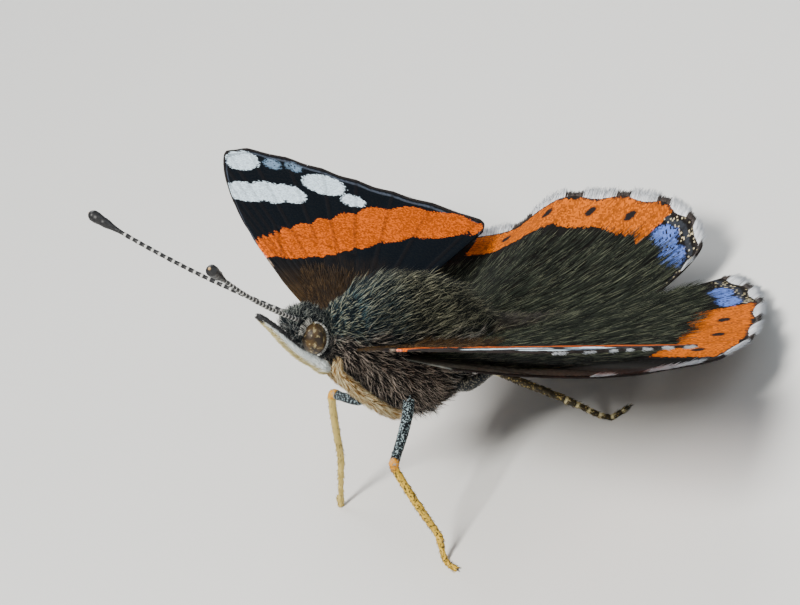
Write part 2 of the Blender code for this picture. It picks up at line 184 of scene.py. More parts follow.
# %% Hairs
def hairs(name, roots, normals, lie, length, width, uv, mats, seed, lift, spread, rings=3,
          flat=1.0, run=None):
    """lift is how steeply a hair leaves the skin, spread how unruly the coat is, width the root's radius."""
    rng = np.random.default_rng(seed)
    count = len(roots)
    length = np.broadcast_to(length, count) * rng.uniform(0.65, 1.1, count)
    width = np.broadcast_to(width, count)
    lie = unit(lie + rng.normal(0, spread, (count, 3)))
    lift = np.broadcast_to(lift, count)[:, None]
    rise = unit(lie * (1 - lift) + normals * lift + rng.normal(0, spread * 0.4, (count, 3)))
    side = unit(np.cross(rise, normals) + 1e-4)
    over = unit(np.cross(side, rise))
    corners, along = [], []
    for ring in range(rings):
        t = ring / rings
        heading = unit(rise * (1 - 0.5 * t) + lie * 0.5 * t)
        middle = roots + heading * (length * t)[:, None]
        wide = (width * (1 - t) ** 0.6)[:, None]
        for k in range(3):
            angle = 2 * math.pi * k / 3
            corners.append(middle + wide * (side * math.cos(angle) + over * math.sin(angle) * flat))
            along.append(t)
    corners.append(roots + unit(rise * 0.5 + lie * 0.5) * length[:, None])
    along.append(1.0)
    per = len(corners)
    points = np.stack(corners, 1).reshape(-1, 3)
    base = (np.arange(count) * per)[:, None]
    quads = [
        [r * 3 + k, r * 3 + (k + 1) % 3, r * 3 + 3 + (k + 1) % 3, r * 3 + 3 + k]
        for r in range(rings - 1)
        for k in range(3)
    ]
    last = (rings - 1) * 3
    tris = [[last + k, last + (k + 1) % 3, per - 1] for k in range(3)]
    quads = (base[:, None] + np.array(quads)[None]).reshape(-1, 4)
    tris = (base[:, None] + np.array(tris)[None]).reshape(-1, 3)
    offset = np.array([((i % 3) * 0.001, along[i] * 0.003) for i in range(per)])
    patch = (np.asarray(uv)[:, None] + offset[None]).reshape(-1, 2)
    mesh = array_mesh(name, over_floor(points), quads, tris, patch)
    add_value(mesh, "along", np.tile(along, count))
    if run is not None:
        add_value(mesh, "run", np.repeat(run, per))
    add_value(mesh, "tone", np.repeat(rng.random(count), per))
    print(name, count, "hairs,", count * (rings * 6 - 3), "triangles")
    return finish_piece(mesh, name, mats, ())


# %% [markdown]
# Finishes are sums and mixes of a few patterns. Wiring them by hand is long, so a small class wraps one
# output socket: a sum or product of two of them adds the node that computes it. Every node is made by one
# method, which sets its settings first and then feeds its sockets with links, colours or numbers.


# %% Shader helpers
class Sock:
    """One output of a node, with the sums that a finish needs."""

    def __init__(self, finish, socket):
        self.finish, self.socket = finish, socket

    def math(self, kind, other=0.0, swap=False):
        pair = (other, self) if swap else (self, other)
        return self.finish.node("Math", {"operation": kind}, dict(enumerate(pair)))

    def __add__(self, other):
        return self.math("ADD", other)

    __radd__ = __add__

    def __sub__(self, other):
        return self.math("SUBTRACT", other)

    def __rsub__(self, other):
        return self.math("SUBTRACT", other, True)

    def __mul__(self, other):
        return self.math("MULTIPLY", other)

    __rmul__ = __mul__

    def __neg__(self):
        return self * -1.0

    def __truediv__(self, other):
        return self.math("DIVIDE", other)

    def __abs__(self):
        return self.math("ABSOLUTE")

    def floor(self):
        return self.math("FLOOR")

    def wave(self):
        return self.math("SINE")

    def most(self, other):
        return self.math("MAXIMUM", other)

    def step(self, low, high):
        """0 below low, 1 above high, smooth between."""
        feeds = {"Value": self, "From Min": low, "From Max": high}
        return self.finish.node("MapRange", {"interpolation_type": "SMOOTHSTEP"}, feeds, "Result")


class Finish:
    """A material under construction."""

    def __init__(self, name, rough=0.6, specular=0.4, sheen=0.0):
        self.mat = bpy.data.materials.new(name)
        self.mat.use_nodes = True
        self.tree = self.mat.node_tree
        self.shader = self.tree.nodes["Principled BSDF"]
        self.shader.inputs["Roughness"].default_value = rough
        self.shader.inputs["Specular IOR Level"].default_value = specular
        self.shader.inputs["Sheen Weight"].default_value = sheen

    def feed(self, place, item):
        """A link, a colour or a number into one socket."""
        if isinstance(item, Sock):
            self.tree.links.new(item.socket, place)
        else:
            place.default_value = (*item, 1.0) if isinstance(item, tuple) else item

    def node(self, kind, settings, feeds, out=0):
        node = self.tree.nodes.new("ShaderNode" + kind)
        for key, value in settings.items():
            setattr(node, key, value)
        for key, item in feeds.items():
            self.feed(node.inputs[key], item)
        return Sock(self, node.outputs[out])

    def value(self, name):
        return self.node("Attribute", {"attribute_name": name}, {}, "Fac")

    def uv(self, name=BAKE_UV):
        return self.node("UVMap", {"uv_map": name}, {})

    def place(self):
        return self.node("TexCoord", {}, {}, "Object")

    def split(self, vector):
        first = self.node("SeparateXYZ", {}, {0: vector})
        return [Sock(self, out) for out in first.socket.node.outputs]

    def join(self, x, y):
        return self.node("CombineXYZ", {}, {0: x, 1: y})

    def noise(self, vector, scale, detail=2.0, rough=0.5):
        feeds = {"Vector": vector, "Scale": scale, "Detail": detail, "Roughness": rough}
        return self.node("TexNoise", {}, feeds, "Fac")

    def cells(self, vector, scale):
        return self.node("TexVoronoi", {}, {"Vector": vector, "Scale": scale}, "Distance")

    def random(self, vector):
        return self.node("TexWhiteNoise", {"noise_dimensions": "2D"}, {"Vector": vector}, "Value")

    def mix(self, low, high, factor):
        return self.node("Mix", {"data_type": "RGBA"}, {0: factor, 6: low, 7: high}, 2)

    def shade(self, colour, factor):
        """The colour times a number."""
        return self.node("VectorMath", {"operation": "SCALE"}, {0: colour, "Scale": factor})

    def done(self, colour, rough=None, height=None, relief=0.00004, strength=1.0):
        self.feed(self.shader.inputs["Base Color"], colour)
        if rough is not None:
            self.feed(self.shader.inputs["Roughness"], rough)
        if height is not None:
            feeds = {"Strength": strength, "Distance": relief, "Height": height}
            self.feed(self.shader.inputs["Normal"], self.node("Bump", {}, feeds))
        return self.mat


def toned(name, dark, pale, low=None, high=None, rough=0.6):
    """A finish for hairs that each have a shade of their own between two colours."""
    f = Finish(name, rough)
    tone = f.value("tone")
    return f.done(f.mix(dark, pale, tone if low is None else tone.step(low, high)))


print("shader helpers ready")

# %% [markdown]
# The body is one skin from the face to the tip of the abdomen, built on egg-shaped rings. It follows the
# solid parts, with the necks between them filled in, so that no seam shows. The inner parts of the hindwings
# pass through its sides, where hair covers them. The same function gives points of the skin for the roots of
# the hairs, so that the coat is rooted in it.

# %% Body skin
BODY = smooth_table(
    (
        # x, middle z, half width, height above, depth below
        (5.45, 2.05, 0.05, 0.05, 0.05),
        (5.25, 2.0, 0.6, 0.4, 0.25),
        (4.9, 1.8, 1.05, 0.9, 0.45),
        (4.3, 1.4, 1.35, 1.5, 0.7),
        (3.6, 1.05, 1.45, 1.9, 1.0),
        (2.9, 0.85, 1.4, 1.7, 1.25),
        (2.4, 0.65, 1.3, 1.45, 1.3),
        (1.5, 0.75, 1.9, 2.0, 1.8),
        (0.3, 0.5, 2.5, 2.8, 2.75),
        (-1.4, 0.1, 2.85, 3.65, 3.9),
        (-3.3, -0.4, 2.95, 4.2, 4.55),
        (-5.2, -0.6, 2.75, 4.0, 4.3),
        (-6.8, -0.7, 2.3, 3.35, 3.4),
        (-7.9, -0.75, 1.8, 2.4, 2.4),
        (-8.7, -0.82, 1.5, 1.6, 1.6),
        (-9.8, -1.05, 1.8, 1.45, 1.75),
        (-11.4, -1.35, 2.05, 1.45, 1.9),
        (-13.2, -1.6, 2.1, 1.45, 1.9),
        (-15.0, -1.75, 1.95, 1.35, 1.8),
        (-16.7, -1.85, 1.65, 1.2, 1.55),
        (-18.2, -1.95, 1.2, 0.95, 1.1),
        (-19.2, -2.05, 0.75, 0.6, 0.65),
        (-19.65, -2.1, 0.05, 0.05, 0.05),
    ),
    8,
)
# the same rings from the tail forward, because np.interp wants rising numbers
RINGS = BODY[::-1]
FRONT, REAR = 5.45, -19.65
ABDOMEN_RING = 1.55


def x_of(s):
    return FRONT + (REAR - FRONT) * s


def s_of(x):
    return (x - FRONT) / (REAR - FRONT)


def body_point(s, around):
    """s runs from the face to the tail and around from the left side over the top, both 0 to 1."""
    x = x_of(np.asarray(s))
    middle, half, up, down = (np.interp(x, RINGS[:, 0], RINGS[:, k]) for k in (1, 2, 3, 4))
    angle = 2 * math.pi * np.asarray(around)
    rise = np.where(np.sin(angle) > 0, up, down)
    dips = np.where(x < -9.0, 0.07 * (0.5 - 0.5 * np.cos(2 * math.pi * (x + 8.8) / ABDOMEN_RING)), 0.0)
    return np.stack((x, (half - dips) * np.cos(angle), middle + (rise - dips) * np.sin(angle)), -1)


def body_normal(s, around):
    step = 1e-3
    along = body_point(s + step, around) - body_point(s - step, around)
    over = body_point(s, around + step) - body_point(s, around - step)
    return unit(np.cross(along, over))


probe = body_normal(np.array((0.3,)), np.array((0.25,)))[0]
OUTWARD = 1.0 if probe[2] > 0 else -1.0
print("skin rings:", len(BODY), "outward sign:", OUTWARD)

# %% [markdown]
# The coat's colours follow the insect: teal-black over the shoulders and olive-black behind them, both with
# pale tips, beige and brown tufts on black along the sides, and grey under the chest. The abdomen is nearly
# black above, with faint paler bands, and brown along its sides. The skin and the hairs share this finish,
# because both read the same unwrapped place on the skin.


# %% Coat finish
def coat_finish():
    f = Finish("coat", rough=0.6, specular=0.15)
    u, v, _ = f.split(f.uv())
    x = x_of(u)
    top = (v * (2 * math.pi)).wave()
    along, tone = f.value("along"), f.value("tone")
    patch = f.noise(f.join(u * 30.0, v * 12.0), 1.0, 2.0)
    clump = f.noise(f.join(u * 75.0, v * 200.0), 1.0, 1.0)
    lit = (clump + tone * 0.4).step(0.73, 0.84)
    back = (top + patch * 0.9 - 0.45).step(-0.05, 0.3)
    chest = (-top + patch * 0.6 - 0.3).step(0.8, 1.05)
    side = f.mix((0.004, 0.0035, 0.004), (0.25, 0.205, 0.17), lit)
    side = f.mix(side, (0.1, 0.045, 0.02), (patch + tone * 0.4).step(0.86, 0.98) * 0.7)
    grey = f.mix((0.01, 0.012, 0.013), (0.3, 0.36, 0.37), lit)
    side = f.mix(side, grey, (-x + patch).step(5.6, 6.6) * 0.7)
    teal = f.mix((0.004, 0.009, 0.013), (0.04, 0.085, 0.1), lit)
    mantle = f.mix((0.005, 0.007, 0.006), (0.055, 0.062, 0.042), lit)
    colour = f.mix(side, f.mix(mantle, teal, (x + patch * 2.0).step(-2.2, 0.6)), back)
    colour = f.mix(colour, f.mix((0.02, 0.02, 0.022), (0.24, 0.22, 0.19), lit), chest)
    tail = (-x).step(8.0, 9.5)
    tail_colour = f.mix((0.12, 0.09, 0.06), (0.02, 0.017, 0.014), (top + patch * 0.3).step(0.1, 0.75))
    bands = (x * (2 * math.pi / ABDOMEN_RING) + 0.7).wave().step(0.75, 1.0)
    tail_colour = f.mix(tail_colour, (0.14, 0.12, 0.09), bands * 0.5)
    colour = f.mix(colour, tail_colour, tail)
    face = x.step(2.1, 2.9)
    face_colour = f.mix((0.005, 0.008, 0.011), (0.2, 0.23, 0.23), (clump + tone * 0.5).step(0.8, 0.95))
    colour = f.mix(colour, face_colour, face)
    tips = along.step(0.2, 0.9) * (clump + tone * 0.5).step(0.82, 0.95)
    pale = f.mix((0.56, 0.47, 0.39), (0.46, 0.44, 0.29), back)
    colour = f.mix(colour, pale, tips * 0.8 * (1.0 - tail * 0.6) * (1.0 - face * 0.6))
    return f.done(colour, height=f.noise(f.join(u * 300.0, v * 120.0), 1.0), strength=0.4)


COAT = coat_finish()
skin_mesh = sheet("body_skin", 200, 72, body_point, close_round=True)
finish_piece(skin_mesh, "body_skin", [COAT], ("head", "thorax", "abdomen"))
print("skin faces:", len(skin_mesh.polygons))


# %% [markdown]
# Fur is laid in pieces with hairs of their own length: long on the back of the thorax and the breast, shorter
# on its sides and front, flat on the abdomen, and short and upright on the head. Roots are spread evenly over
# the skin by drawing places at random and keeping them with a chance that follows the ring's size.


# %% Fur
WIDEST = 7.2
TRIES = 6
ROOT_DEPTH = 0.08


def skin_roots(count, x_low, x_high, seed, keep):
    rng = np.random.default_rng(seed)
    s = rng.uniform(s_of(x_high), s_of(x_low), count * TRIES)
    around = rng.random(count * TRIES)
    size = np.interp(x_of(s), RINGS[:, 0], RINGS[:, 2] + RINGS[:, 3])
    ok = (rng.random(count * TRIES) < size / WIDEST) & keep(x_of(s), around)
    return s[ok][:count], around[ok][:count]


def anywhere(x, around):
    return np.full(np.shape(x), True)


def over_top(x, around):
    return around < 0.5


def off_eye(x, around):
    """Where the head has no eye."""
    y, z = np.cos(2 * math.pi * around), np.sin(2 * math.pi * around)
    return ~((x > 2.85) & (x < 4.4) & (np.abs(y) > 0.6) & (z > -0.65) & (z < 0.6))


def fur(name, count, x_low, x_high, length, width, seed, lie, lift, spread=0.22, keep=anywhere):
    """lie is given for the left side and mirrored for the right."""
    s, around = skin_roots(count, x_low, x_high, seed, keep)
    points, normals = body_point(s, around), body_normal(s, around) * OUTWARD
    flow = np.broadcast_to(np.asarray(lie, float), points.shape).copy()
    flow[:, 1] *= np.sign(points[:, 1])
    flow -= normals * (flow * normals).sum(1, keepdims=True)
    return hairs(name, points - normals * ROOT_DEPTH, normals, flow, length, width,
                 np.stack((s, around), 1), [COAT], seed, lift, spread)


# name, hairs, from x and to x, length, radius at the root, seed, lie, lift
fur("fur_thorax_back", 11000, -9.0, 0.6, 1.9, 0.03, 11, (-1, 0.15, 0.4), 0.46, keep=over_top)
fur("fur_thorax_front", 6500, -1.2, 2.6, 0.75, 0.042, 15, (-1, 0.15, 0.1), 0.4, keep=over_top)
fur("fur_thorax_side", 11500, -8.8, 2.6, 1.15, 0.036, 12, (-1, 0.1, -0.25), 0.4,
    keep=lambda x, a: (a > 0.44) | (a < 0.06))
fur("fur_breast", 6000, -4.5, 2.5, 1.5, 0.032, 16, (-0.7, 0.0, -0.6), 0.5, spread=0.3,
    keep=lambda x, a: (a > 0.56) & (a < 0.94))
fur("fur_abdomen", 10500, -19.6, -8.4, 1.25, 0.028, 13, (-1, 0.1, 0.0), 0.26)
fur("fur_head", 4200, 2.2, 5.45, 0.7, 0.026, 14, (-0.25, 0.1, 0.5), 0.75, keep=off_eye)

# %% [markdown]
# Butterfly eyes are domes of thousands of facets, here hairy and mottled brown with darker spots. A sphere
# scaled to the solid eye is enough, with a fine cell pattern as relief, because single facets are far smaller
# than a pixel. A rim of pale scales stands behind each eye, and a small grey tuft before and over it.


# %% Eyes
def eye_finish():
    f = Finish("eye_facets", rough=0.42, specular=0.3)
    here = f.place()
    facets = f.cells(here, 16000.0)
    blots = f.noise(here, 1500.0, 3.0)
    colour = f.mix((0.06, 0.034, 0.01), (0.016, 0.009, 0.004), blots.step(0.42, 0.58))
    colour = f.mix(colour, (0.32, 0.26, 0.13), f.noise(here, 3600.0, 2.0).step(0.55, 0.68) * 0.8)
    return f.done(colour, height=facets, relief=0.00002, strength=0.5)


EYE = eye_finish()
EYE_CENTRE, EYE_RADII = np.array((3.64, 1.25, 1.1)), np.array((0.84, 0.92, 1.12))
COLLAR_HAIRS, TUFT_HAIRS = 420, 150
COLLAR_MAT = toned("eye_collar", (0.05, 0.05, 0.045), (0.8, 0.8, 0.74), 0.3, 0.6)
TUFT_MAT = toned("eye_tuft", (0.03, 0.03, 0.03), (0.5, 0.49, 0.43), 0.45, 0.7)
SIDES = (("left", 1), ("right", -1))


def eye_dome(side_name, centre):
    bm = bmesh.new()
    bmesh.ops.create_uvsphere(bm, u_segments=64, v_segments=40, radius=1.0)
    for vert in bm.verts:
        vert.co = to_floor(centre + np.array(vert.co) * EYE_RADII)
    mesh = mesh_from(bm, "eye_" + side_name)
    return finish_piece(mesh, "eye_dome_" + side_name, [EYE], ("eye_" + side_name,))


for side_name, side in SIDES:
    centre = EYE_CENTRE * (1, side, 1)
    print(eye_dome(side_name, centre).name)
    rng = np.random.default_rng(31)
    ring = (0.5 + 0.24 * (rng.random(COLLAR_HAIRS) * 2 - 1)) * 2 * math.pi
    level = 0.2 + rng.random(COLLAR_HAIRS) * 0.12
    out = np.stack((np.cos(ring), level * side, np.sin(ring)), 1)
    lie = np.stack((np.cos(ring) * 0.3, np.full(COLLAR_HAIRS, 0.9 * side), np.sin(ring) * 0.3), 1)
    hairs("eye_collar_" + side_name, centre + out * EYE_RADII, unit(out * (1, 0.1, 1)), lie, 0.2, 0.024,
          np.stack((ring / 7, level), 1), [COLLAR_MAT], 32, 0.55, 0.2)

    ring = np.radians(rng.uniform(15, 80, TUFT_HAIRS))
    out = np.stack((np.cos(ring), 0.25 * side * np.ones(TUFT_HAIRS), np.sin(ring)), 1)
    lie = out * (1, 0, 1) + (0.3, 0.15 * side, 0.5)
    hairs("eye_tuft_" + side_name, centre + out * EYE_RADII * 1.02, out, lie, 0.5, 0.026,
          np.stack((ring / 7, ring / 7), 1), [TUFT_MAT], 33, 0.4, 0.2)

# %% [markdown]
# Two palps stand up in front of the face like a beak. Each is a flat core with a dense brush: straw-yellow
# along the lower edge, white along the middle, and dark on the upper edge and at the tip.

# %% Palps
PALP = smooth_table(
    (
        # x, z, half height, half thickness
        (2.4, -1.6, 0.26, 0.24), (2.9, -1.3, 0.32, 0.28), (3.6, -0.75, 0.36, 0.3), (4.25, -0.28, 0.37, 0.32),
        (4.85, 0.3, 0.36, 0.32), (5.45, 0.98, 0.33, 0.3), (5.95, 1.6, 0.28, 0.25), (6.45, 2.12, 0.23, 0.2),
        (6.85, 2.52, 0.17, 0.15), (7.12, 2.76, 0.08, 0.07),
    ),
    6,
)
STATIONS = np.linspace(0, 1, len(PALP))
PALP_HAIRS = 2600


def palp_row(s, columns):
    return np.stack([np.interp(s, STATIONS, PALP[:, k]) for k in columns], -1)


def palp_point(s, around, side):
    """The point on the palp's skin, and the way the palp heads there in x and z."""
    x, z, half_high, half_thick = np.moveaxis(palp_row(s, range(4)), -1, 0)
    ahead = unit(palp_row(np.clip(s + 0.02, 0, 1), (0, 1)) - palp_row(np.clip(s - 0.02, 0, 1), (0, 1)))
    angle = 2 * math.pi * around
    high = half_high * np.sin(angle)
    y = side * (0.15 + half_thick + half_thick * np.cos(angle))
    return np.stack((x - ahead[..., 1] * high, y, z + ahead[..., 0] * high), -1), ahead


def palp_finish():
    f = Finish("palp_brush", rough=0.6, sheen=0.1)
    u, v, _ = f.split(f.uv())
    upper = (v * (2 * math.pi)).wave()
    tone, along = f.value("tone"), f.value("along")
    dark = (upper * 0.6 + tone * 0.2 + u * 1.2).step(0.95, 1.1).most((u + tone * 0.1).step(0.9, 0.96))
    straw = f.mix((0.3, 0.24, 0.08), (0.62, 0.55, 0.27), (tone + along * 0.3).step(0.2, 0.8))
    snow = f.mix((0.6, 0.66, 0.66), (0.86, 0.89, 0.88), tone)
    pale = f.mix(straw, snow, (upper + tone * 0.3).step(-0.55, 0.0))
    return f.done(f.mix(pale, (0.012, 0.013, 0.015), dark))


PALP_MAT = palp_finish()
for side_name, side in SIDES:
    mesh = sheet("palp_core_" + side_name, 40, 24, lambda s, t: palp_point(s, t, side)[0], close_round=True)
    finish_piece(mesh, "palp_core_" + side_name, [PALP_MAT], ("palp_" + side_name,))
    rng = np.random.default_rng(41)
    s, around = rng.random(PALP_HAIRS) * 0.98, rng.random(PALP_HAIRS)
    points, ahead = palp_point(s, around, side)
    middle = palp_point(s, around + 0.5, side)[0] * 0.5 + points * 0.5
    lie = np.stack((ahead[:, 0], np.zeros(PALP_HAIRS), ahead[:, 1]), 1)
    hairs("palp_brush_" + side_name, points, unit(points - middle), lie, 0.42 - 0.18 * s + 0.3 * (s < 0.1),
          0.024, np.stack((s, around), 1), [PALP_MAT], 42, 0.42, 0.14)


# %% [markdown]
# Feelers and legs are tubes along a line of points. Each corner keeps its distance from the root and from the
# end in millimetres, so that a finish can paint rings or a knee at true distances along the limb.


# %% Tubes
TUBE_SIDES = 14


def tube_piece(name, line, radius, mats, replaces, flatten=1.0):
    """line is an array of points in mm, radius one value for each. Gives the distances along the line."""
    line, radius = np.asarray(line, float), np.asarray(radius, float)
    ahead = unit(np.gradient(line, axis=0))
    across = unit(np.cross(ahead, (0.02, 0.05, 1.0)))
    over = unit(np.cross(ahead, across))
    run = np.concatenate(((0,), np.cumsum(np.linalg.norm(np.diff(line, axis=0), axis=1))))

    def place(s, t):
        row = np.rint(s * (len(line) - 1)).astype(int)
        angle = (2 * math.pi * t)[:, None]
        return line[row] + radius[row][:, None] * (
            across[row] * np.cos(angle) * flatten + over[row] * np.sin(angle))

    mesh = sheet(name, len(line) - 1, TUBE_SIDES, place, close_round=True)
    row = np.rint(read_value(mesh, "s") * (len(line) - 1)).astype(int)
    add_value(mesh, "run", run[row])
    add_value(mesh, "left", run[-1] - run[row])
    finish_piece(mesh, name, mats, replaces)
    print(name, round(float(run[-1]), 1), "mm long")
    return run


def round_ends(radius):
    out = np.array(radius, float)
    out[0] = out[-1] = 0.01
    return out


# %% [markdown]
# The feelers are black with a white ring at the foot of each joint, and end in a black club with a small tan
# tip. The solids give their roots and tips; between them each feeler sags a little.

# %% Feelers
ANTENNA_ROOT = np.array((4.1, 0.62, 2.2))
ANTENNA_TIPS = {"left": np.array((13.6, 11.0, 9.7)), "right": np.array((16.4, -8.5, 9.4))}
FEELER_JOINT, FEELER_POINTS, FEELER_SAG, CLUB_LENGTH = 0.55, 140, 0.5, 2.3


def antenna_finish():
    f = Finish("feeler", rough=0.45)
    run, left = f.value("run"), f.value("left")
    joints = (run * (2 * math.pi / FEELER_JOINT)).wave()
    ring = joints.step(0.35, 0.75) * left.step(2.4, 3.0) * run.step(0.4, 2.2)
    colour = f.mix((0.012, 0.012, 0.013), (0.72, 0.72, 0.68), ring * (0.8 - f.value("t") * 0.2))
    colour = f.mix((0.5, 0.32, 0.14), colour, left.step(0.02, 0.07))
    return f.done(colour, height=joints, relief=0.00002)


ANTENNA = antenna_finish()
for side_name, side in SIDES:
    root, tip = ANTENNA_ROOT * (1, side, 1), ANTENNA_TIPS[side_name]
    t = np.linspace(0, 1, FEELER_POINTS)
    line = root + (tip - root) * t[:, None] - np.array((0, 0, FEELER_SAG)) * (4 * t * (1 - t))[:, None]
    left = (1 - t) * np.linalg.norm(tip - root)
    club = 1 - np.minimum(left / CLUB_LENGTH, 1) ** 2
    radius = 0.15 + 0.27 * club + 0.014 * np.sin(t * FEELER_POINTS * 0.9)
    radius *= np.clip(left / 0.35, 0.0, 1) ** 0.5
    replaced = ("antenna_" + side_name,)
    tube_piece("feeler_" + side_name, line, round_ends(radius), [ANTENNA], replaced)

# %% [markdown]
# A leg has a stout coxa and thigh, a shin with small spines, and a foot of short joints that end in claws.
# The thighs are dark with pale scales. The middle legs have orange knees and yellow shins and feet with dark
# specks, and the hind legs are black with yellow specks and cream joints. The first pair is folded to a small
# golden brush that isn't used for walking. The far middle leg has a line of its own, because it steps ahead.

# %% Legs
LEGS = {
    # x, y, z, radius
    "foreleg": (
        (1.7, 1.1, -0.2, 0.2), (2.1, 1.5, -1.3, 0.28), (1.6, 1.75, -2.2, 0.33), (0.67, 1.7, -3.19, 0.32),
        (-0.41, 1.6, -4.14, 0.28), (-1.38, 1.45, -4.83, 0.2), (-1.99, 1.35, -5.16, 0.08),
    ),
    "midleg": (
        (-2.9, 1.5, -3.2, 0.5), (-2.6, 2.35, -4.4, 0.4), (-1.6, 3.9, -5.7, 0.37), (-0.6, 5.1, -6.9, 0.33),
        (-0.25, 5.5, -7.35, 0.36), (-0.35, 5.6, -7.8, 0.27), (-1.4, 6.0, -9.9, 0.27),
        (-2.8, 6.45, -12.4, 0.24), (-2.95, 6.55, -12.8, 0.26), (-3.0, 6.8, -13.5, 0.19),
        (-3.05, 7.25, -14.18, 0.19), (-3.05, 8.1, -14.22, 0.17), (-3.1, 9.3, -14.2, 0.15),
    ),
    "midleg_ahead": (
        (-2.9, 1.5, -3.2, 0.5), (-2.2, 2.4, -4.4, 0.4), (-0.95, 3.4, -5.3, 0.37), (-0.05, 4.6, -5.25, 0.33),
        (0.32, 5.2, -5.17, 0.36), (0.42, 5.45, -5.6, 0.28), (-0.25, 7.0, -8.2, 0.27),
        (-1.0, 8.5, -10.8, 0.24), (-1.1, 8.75, -11.25, 0.26), (-1.25, 9.5, -13.2, 0.19),
        (-1.4, 10.2, -15.19, 0.19), (-1.55, 10.9, -15.13, 0.17), (-1.7, 11.6, -15.05, 0.15),
    ),
    "hindleg": (
        (-6.6, 1.2, -2.9, 0.6), (-6.9, 2.1, -3.5, 0.52), (-7.5, 2.85, -3.1, 0.4), (-8.2, 3.45, -2.45, 0.33),
        (-8.5, 3.65, -2.3, 0.35), (-8.8, 3.8, -2.45, 0.27), (-10.8, 4.4, -3.5, 0.25),
        (-12.9, 5.0, -4.55, 0.23), (-13.3, 5.1, -4.8, 0.26), (-14.3, 5.35, -5.35, 0.19),
        (-15.5, 5.6, -6.05, 0.18), (-16.4, 5.85, -6.21, 0.17), (-17.5, 6.1, -5.55, 0.15),
    ),
}
TOE_JOINT = 0.9


def leg_finish(name, knee, scales, light, joint, worn, rings_from=None):
    """knee and rings_from are distances along the limb in mm; worn is how far dark covers the light shin."""
    f = Finish(name, rough=0.5, specular=0.2)
    run = f.value("run")
    speck = f.noise(f.place(), 8000.0, 1.0)
    thigh = f.mix((0.006, 0.009, 0.012), scales, speck.step(0.53, 0.62))
    shin = f.mix(light, (0.014, 0.011, 0.008), speck.step(0.68 - worn, 0.74 - worn) * 0.95)
    colour = f.mix(thigh, shin, run.step(knee - 0.2, knee + 0.3))
    at_knee = 1.0 - abs(run - knee).step(0.2, 0.42)
    colour = f.mix(colour, joint, at_knee * (1.0 - speck.step(0.56, 0.62) * 0.85))
    if rings_from:
        rings = ((run - rings_from) * (2 * math.pi / TOE_JOINT) + 1.57).wave().step(0.6, 0.9)
        colour = f.mix(colour, joint, rings * run.step(rings_from - 0.25, rings_from) * 0.9)
    return f.done(colour, height=speck, relief=0.00003)


def brush_finish():
    f = Finish("foreleg_brush", rough=0.6, specular=0.2)
    tone = f.value("tone")
    golden = f.mix((0.14, 0.06, 0.015), (0.45, 0.27, 0.09), tone.step(0.0, 0.4))
    return f.done(f.mix(golden, (0.74, 0.66, 0.42), tone.step(0.45, 0.6)))


LEG_MATS = {
    "midleg": leg_finish("mid_leg", 6.5, (0.32, 0.42, 0.45), (0.62, 0.4, 0.045), (0.62, 0.26, 0.01), 0.13),
    "midleg_ahead": leg_finish(
        "mid_leg_ahead", 5.8, (0.2, 0.26, 0.28), (0.55, 0.42, 0.12), (0.62, 0.3, 0.02), 0.0),
    "hindleg": leg_finish(
        "hind_leg", 3.9, (0.14, 0.13, 0.1), (0.5, 0.38, 0.13), (0.75, 0.66, 0.36), 0.36, rings_from=9.2),
}
SPINE_MAT = toned("leg_spine", (0.02, 0.014, 0.01), (0.3, 0.22, 0.1), 0.5, 0.8, rough=0.4)
LEG_MATS["foreleg"] = brush_finish()
SPINES_FROM = {"midleg": 6.0, "hindleg": 3.9}
LIE_SHARE = 0.8


def limb_hairs(name, line, run, radius, count, length, width, mats, seed, start, lift):
    """Hairs all round a limb, from the distance start to its end."""
    rng = np.random.default_rng(seed)
    at = rng.uniform(start, run[-1] * 0.99, count)
    spot = np.stack([np.interp(at, run, line[:, k]) for k in range(3)], 1)
    thick = np.interp(at, run, radius)
    ahead = np.stack([np.interp(at, run, unit(np.gradient(line, axis=0))[:, k]) for k in range(3)], 1)
    turn = rng.normal(0, 1, (count, 3))
    normals = unit(turn - ahead * (turn * ahead).sum(1, keepdims=True))
    return hairs(name, spot + normals * thick[:, None] * 0.9, normals, ahead * LIE_SHARE, length, width,
                 np.stack((at / 20, rng.random(count)), 1), mats, seed, lift, 0.1, run=at)


def claws(name, line):
    """Two thick hairs that fork from the end of a foot."""
    normal = np.tile(TURN.T @ np.array((0, 0, 1.0)), (2, 1))
    ahead, aside = unit(line[-1] - line[-3]), np.array((0.35, 0, 0.2))
    fork = np.array((ahead + aside, ahead - aside))
    return hairs(name, np.array([line[-1], line[-1]]), normal, fork - normal * 0.2, 0.45, 0.05,
                 np.full((2, 2), 0.5), [SPINE_MAT], 54, 0.1, 0.0)


for kind in ("foreleg", "midleg", "hindleg"):
    for side_name, side in SIDES:
        shape = "midleg_ahead" if kind == "midleg" and side < 0 else kind
        fine = smooth_table(LEGS[shape], 8)
        line, radius = fine[:, :3] * (1, side, 1), round_ends(fine[:, 3])
        mats, name = [LEG_MATS[shape]], kind + "_" + side_name
        folded = kind == "foreleg"
        slot, flatten = ("foreleg", 0.75) if folded else ("leg", 1.0)
        run = tube_piece(kind + "_limb_" + side_name, line, radius, mats, (name,), flatten)
        if folded:
            limb_hairs(name + "_brush", line, run, radius, 1800, 0.75, 0.024, mats, 51, 0.2, 0.28)
            continue
        limb_hairs(name + "_spines", line, run, radius, 90, 0.32, 0.028, [SPINE_MAT], 52,
                   SPINES_FROM[kind], 0.6)
        limb_hairs(name + "_scales", line, run, radius, 600, 0.3, 0.032, mats, 53, 0.4, 0.2)
        claws(name + "_claws", line)

# %% [markdown]
# A wing is a sheet that fans out from its root. The place of a point is given by s, from the leading to the
# inner edge, and t, from root to margin, and also by u and v, its distance out and forward in millimetres.
# The margin passes through the ends of the veins, with a shallow bay in each cell. The two hindwings aren't
# posed alike, so each side has its own row of angles.

